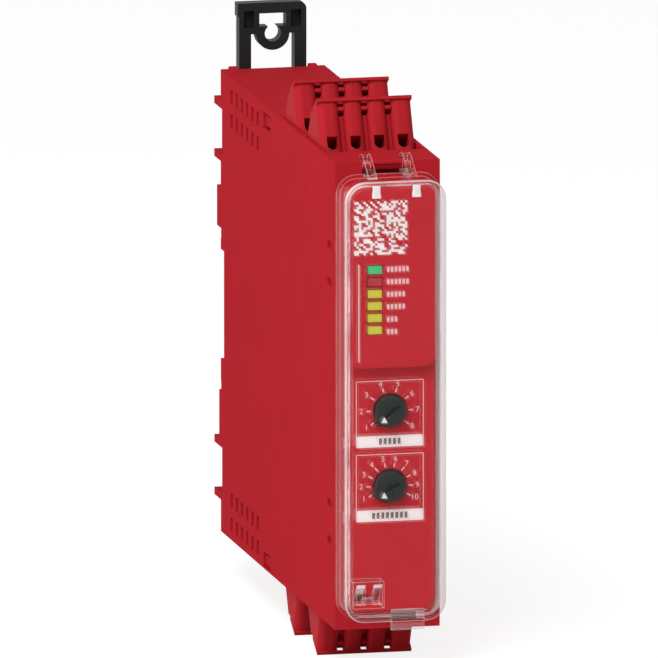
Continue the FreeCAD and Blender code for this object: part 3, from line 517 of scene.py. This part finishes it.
def dial(middle_z, first_angle, step, count, frame_top, frame_bottom):
    """Ticks, numbers and a thin frame for one selector, and a strip that joins the list of strips."""
    pieces = []
    for index in range(count):
        angle = math.radians(first_angle - step * index)
        across = math.cos(angle)
        rise = math.sin(angle)
        pieces.append(mark(dial_x + tick_radius * across, middle_z + tick_radius * rise, 0.95 * MM, 0.28 * MM,
                           selector_face, turn=angle))
        number_x = dial_x - number_shift + number_radius * across
        number_z = middle_z + number_radius * rise * number_squash
        pieces.append(numeral(str(index + 1), number_x, number_z, 1.7 * MM, selector_face))
    left = dial_x - 7.19 * MM
    right = dial_x + 7.21 * MM
    line = 0.17 * MM
    width = right - left
    across = (left + right) / 2
    height = frame_top - frame_bottom
    pieces.append(mark(across, frame_top, width, line, selector_face))
    for side in (left, right):
        pieces.append(mark(side, (frame_top + frame_bottom) / 2, line, height, selector_face))
    strip = 2.45 * MM
    strips.append(mark(across, frame_bottom + strip / 2, width, strip, selector_face, corner=0.35 * MM))
    return pieces


strips = []
dials = dial(start_z, 216, 36, 8, height_of(53.35), height_of(39.2))
dials += dial(function_z, 205.714, 25.714, 10, height_of(37.65), height_of(23.35))
dial_print = join(dials, "dial_print")
thicken(dial_print, INK)
dial_print.data.materials.clear()
dial_print.data.materials.append(pink_ink)
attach(dial_print, "housing")
strip_print = join(strips, "strip_print")
thicken(strip_print, INK)
strip_print.data.materials.clear()
strip_print.data.materials.append(pale_ink)
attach(strip_print, "housing")
print("dial print faces:", len(dial_print.data.polygons))

# %% Small dark blocks on the strips
bars = []
for middle_z, count in ((height_of(40.45), 5), (height_of(24.6), 8)):
    for index in range(count):
        x = dial_x + (index - (count - 1) / 2) * 1.0 * MM
        bars.append(mark(x, middle_z, 0.6 * MM, 1.3 * MM, selector_face - INK))
strip_bars = join(bars, "strip_bars")
thicken(strip_bars, INK)
strip_bars.data.materials.clear()
strip_bars.data.materials.append(dark_ink)
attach(strip_bars, "housing")
print("strip bars:", len(bars))

# %% [markdown]
# ## The raised label
# A thin line runs down the left of the lights, a row of small upright blocks stands beside each light, and a
# square field of tiny blocks fills the top. The blocks follow plain arithmetic on their row and column, so
# they say nothing.

# %% Draw the label


def block_row(x, z, count, width, height, gap, face):
    """A row of small upright blocks that starts at x."""
    return [mark(x + width / 2 + index * (width + gap), z, width, height, face) for index in range(count)]


words = []
label_marks = [mark(-7.05 * MM, height_of(68.2), 0.2 * MM, 20.8 * MM, label_face)]
for index in range(6):
    z = height_of(77.4 - 2.66 * index)
    count = (6, 6, 5, 5, 3, 3)[index]
    words += block_row(-1.0 * MM, z, count, 0.5 * MM, 1.1 * MM, 0.33 * MM, label_face)
cells = 23
field_left = -8.05 * MM
field_low = height_of(80.6)
cell = 11.4 * MM / cells
for row in range(cells):
    run = 0
    for column in range(cells + 1):
        mix = row * 37 + column * 61 + row * row * column * 13 + column * column * 5
        filled = column < cells and mix % 29 < 15
        if filled:
            run += 1
        elif run:
            x = field_left + (column - run / 2) * cell
            z = field_low + (row + 0.5) * cell
            label_marks.append(mark(x, z, run * cell, cell * 0.98, label_face))
            run = 0
label_print = join(label_marks, "label_print")
thicken(label_print, INK)
label_print.data.materials.clear()
label_print.data.materials.append(white_ink)
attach(label_print, "housing")
word_print = join(words, "word_print")
thicken(word_print, INK)
word_print.data.materials.clear()
word_print.data.materials.append(pink_ink)
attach(word_print, "housing")
print("label print faces:", len(label_print.data.polygons) + len(word_print.data.polygons))

# %% [markdown]
# ## Painted highlights at the roots of the hinge arms
# Where each arm of the cover meets the front, under the cover's upper edge, its end catches a bright
# highlight.
# A short white block on the front paints that highlight. It starts as a cube, and a bevel rounds it.

# %% Add the painted highlights at the arm roots
root_highlight_x = 4.3 * MM
root_highlight_proud = 0.2 * MM
root_highlight_height = height_of(94.95)
root_highlights = []
for side in (-1, 1):
    deselect_all()
    place = (side * root_highlight_x, cover_front - root_highlight_proud, root_highlight_height)
    bpy.ops.mesh.primitive_cube_add(size=1, location=place)
    root_highlight = bpy.context.active_object
    root_highlight.scale = (1.6 * MM, 0.5 * MM, 2.3 * MM)
    settle(root_highlight)
    bpy.ops.object.mode_set(mode="EDIT")
    bpy.ops.mesh.select_all(action="SELECT")
    bpy.ops.mesh.bevel(offset=0.15 * MM, segments=2)
    bpy.ops.object.mode_set(mode="OBJECT")
    root_highlights.append(root_highlight)
arm_root_highlights = join(root_highlights, "arm_root_highlights")
# the white ink here paints a highlight and is not print
arm_root_highlights.data.materials.clear()
arm_root_highlights.data.materials.append(white_ink)
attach(arm_root_highlights, "clear_cover")
print("arm roots faces:", len(arm_root_highlights.data.polygons))

# %% [markdown]
# ## Pointers on the selectors
# Each selector has a small pale triangle near its nose. A triangle is a circle of three corners, each moved
# to its place.

# %% Draw the pointers


def pointer(name, middle_z, body, points):
    """A pale triangle on a selector."""
    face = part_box(body)[0][1]
    deselect_all()
    bpy.ops.mesh.primitive_circle_add(vertices=3, radius=1, fill_type="NGON", location=(0, face, 0),
                                      rotation=(math.radians(90), 0, 0))
    piece = settle(bpy.context.active_object)
    for vertex, (x, z) in zip(piece.data.vertices, points):
        vertex.co = (dial_x + x * MM, face, middle_z + z * MM)
    pick(piece)
    bpy.ops.object.mode_set(mode="EDIT")
    bpy.ops.mesh.select_all(action="SELECT")
    bpy.ops.mesh.normals_make_consistent(inside=False)
    bpy.ops.object.mode_set(mode="OBJECT")
    if piece.data.polygons[0].normal.y > 0:
        piece.data.flip_normals()
    thicken(piece, INK)
    piece.name = name
    piece.data.materials.clear()
    piece.data.materials.append(white_ink)
    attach(piece, body)
    return piece


triangle = [(-2.2, -2.3), (-0.85, -2.3), (-1.5, -1.0)]
pointer("start_pointer", start_z, "start_selector", triangle)
pointer("function_pointer", function_z, "function_selector", triangle)
print("pointers made")

# %% [markdown]
# ## Floor, lamps and camera
# The picture is a catalogue one: a white room, a soft main light from the left and in front, and a long lens.
# The world shows white to the camera, through clear plastic and in mirrored rays, but lights the object at a
# gentler level. The floor adds a little light of its own for the same rays, so it stays white and still keeps
# the object's shadow.

# %% World
scene = bpy.context.scene
scene.view_settings.view_transform = "Standard"
world = bpy.data.worlds.new("studio")
scene.world = world
world.use_nodes = True
tree = world.node_tree
tree.nodes.clear()
seen = tree.nodes.new("ShaderNodeBackground")
seen.inputs["Color"].default_value = (1, 1, 1, 1)
path = tree.nodes.new("ShaderNodeLightPath")
through = calc(tree, "MAXIMUM", path.outputs["Is Camera Ray"], path.outputs["Is Transmission Ray"])
shown = calc(tree, "MAXIMUM", through, path.outputs["Is Glossy Ray"])
level = calc(tree, "MAXIMUM", shown, 0.38)
out = tree.nodes.new("ShaderNodeOutputWorld")
tree.links.new(level, seen.inputs["Strength"])
tree.links.new(seen.outputs[0], out.inputs[0])
print("world ready")

# %% Floor
floor_height = cad_bounds[0][2]
deselect_all()
bpy.ops.mesh.primitive_plane_add(size=12, location=(0, 0, floor_height))
floor = settle(bpy.context.active_object)
floor.name = "floor"
floor_white = bpy.data.materials.new("floor_white")
floor_white.use_nodes = True
tree = floor_white.node_tree
tree.nodes.clear()
matt = tree.nodes.new("ShaderNodeBsdfDiffuse")
matt.inputs["Color"].default_value = (0.30, 0.30, 0.30, 1)
plain = tree.nodes.new("ShaderNodeBsdfDiffuse")
plain.inputs["Color"].default_value = (0.75, 0.75, 0.75, 1)
glow = tree.nodes.new("ShaderNodeEmission")
glow.inputs["Strength"].default_value = 0.82
both = tree.nodes.new("ShaderNodeAddShader")
blend = tree.nodes.new("ShaderNodeMixShader")
path = tree.nodes.new("ShaderNodeLightPath")
through = calc(tree, "MAXIMUM", path.outputs["Is Camera Ray"], path.outputs["Is Transmission Ray"])
shown = calc(tree, "MAXIMUM", through, path.outputs["Is Glossy Ray"])
out = tree.nodes.new("ShaderNodeOutputMaterial")
tree.links.new(shown, blend.inputs[0])
tree.links.new(matt.outputs[0], both.inputs[0])
tree.links.new(glow.outputs[0], both.inputs[1])
tree.links.new(plain.outputs[0], blend.inputs[1])
tree.links.new(both.outputs[0], blend.inputs[2])
tree.links.new(blend.outputs[0], out.inputs[0])
floor.data.materials.append(floor_white)
print("floor at", round(floor_height * 1000, 1), "mm")

# %% Lamps
middle = Vector((0, -0.055, 0.002))


def lamp(name, place, size, power):
    """A soft square lamp that faces the object."""
    deselect_all()
    bpy.ops.object.light_add(type="AREA", location=place)
    piece = bpy.context.active_object
    piece.name = name
    piece.data.shape = "SQUARE"
    piece.data.size = size
    piece.data.energy = power
    piece.rotation_euler = (middle - Vector(place)).to_track_quat("-Z", "Y").to_euler()
    return piece


lamp("main_light", (-0.35, -0.55, 0.80), 0.4, 6.3)
lamp("side_light", (-0.75, -0.30, 0.10), 0.4, 2.2)
print("lamps ready")

# %% Camera
azimuth = math.radians(-12.66)
elevation = math.radians(10.87)
distance = 9.534
seen_width = 0.13876
to_camera = Vector((math.sin(azimuth) * math.cos(elevation), -math.cos(azimuth) * math.cos(elevation),
                    math.sin(elevation)))
right = Vector((math.cos(azimuth), math.sin(azimuth), 0))
up = to_camera.cross(right)
aim = Vector((0, -0.057, 0.00205)) + right * -0.53 * MM + up * 3.8 * MM
bpy.ops.object.camera_add(location=aim + to_camera * distance)
camera = bpy.context.active_object
camera.rotation_euler = (-to_camera).to_track_quat("-Z", "Y").to_euler()
camera.data.lens_unit = "MILLIMETERS"
camera.data.sensor_width = 36
camera.data.lens = camera.data.sensor_width * distance / seen_width
camera.data.clip_start = 0.1
camera.data.clip_end = 60
scene.camera = camera
print("camera lens", round(camera.data.lens), "mm")

# %% End of the scene
print("scene built")
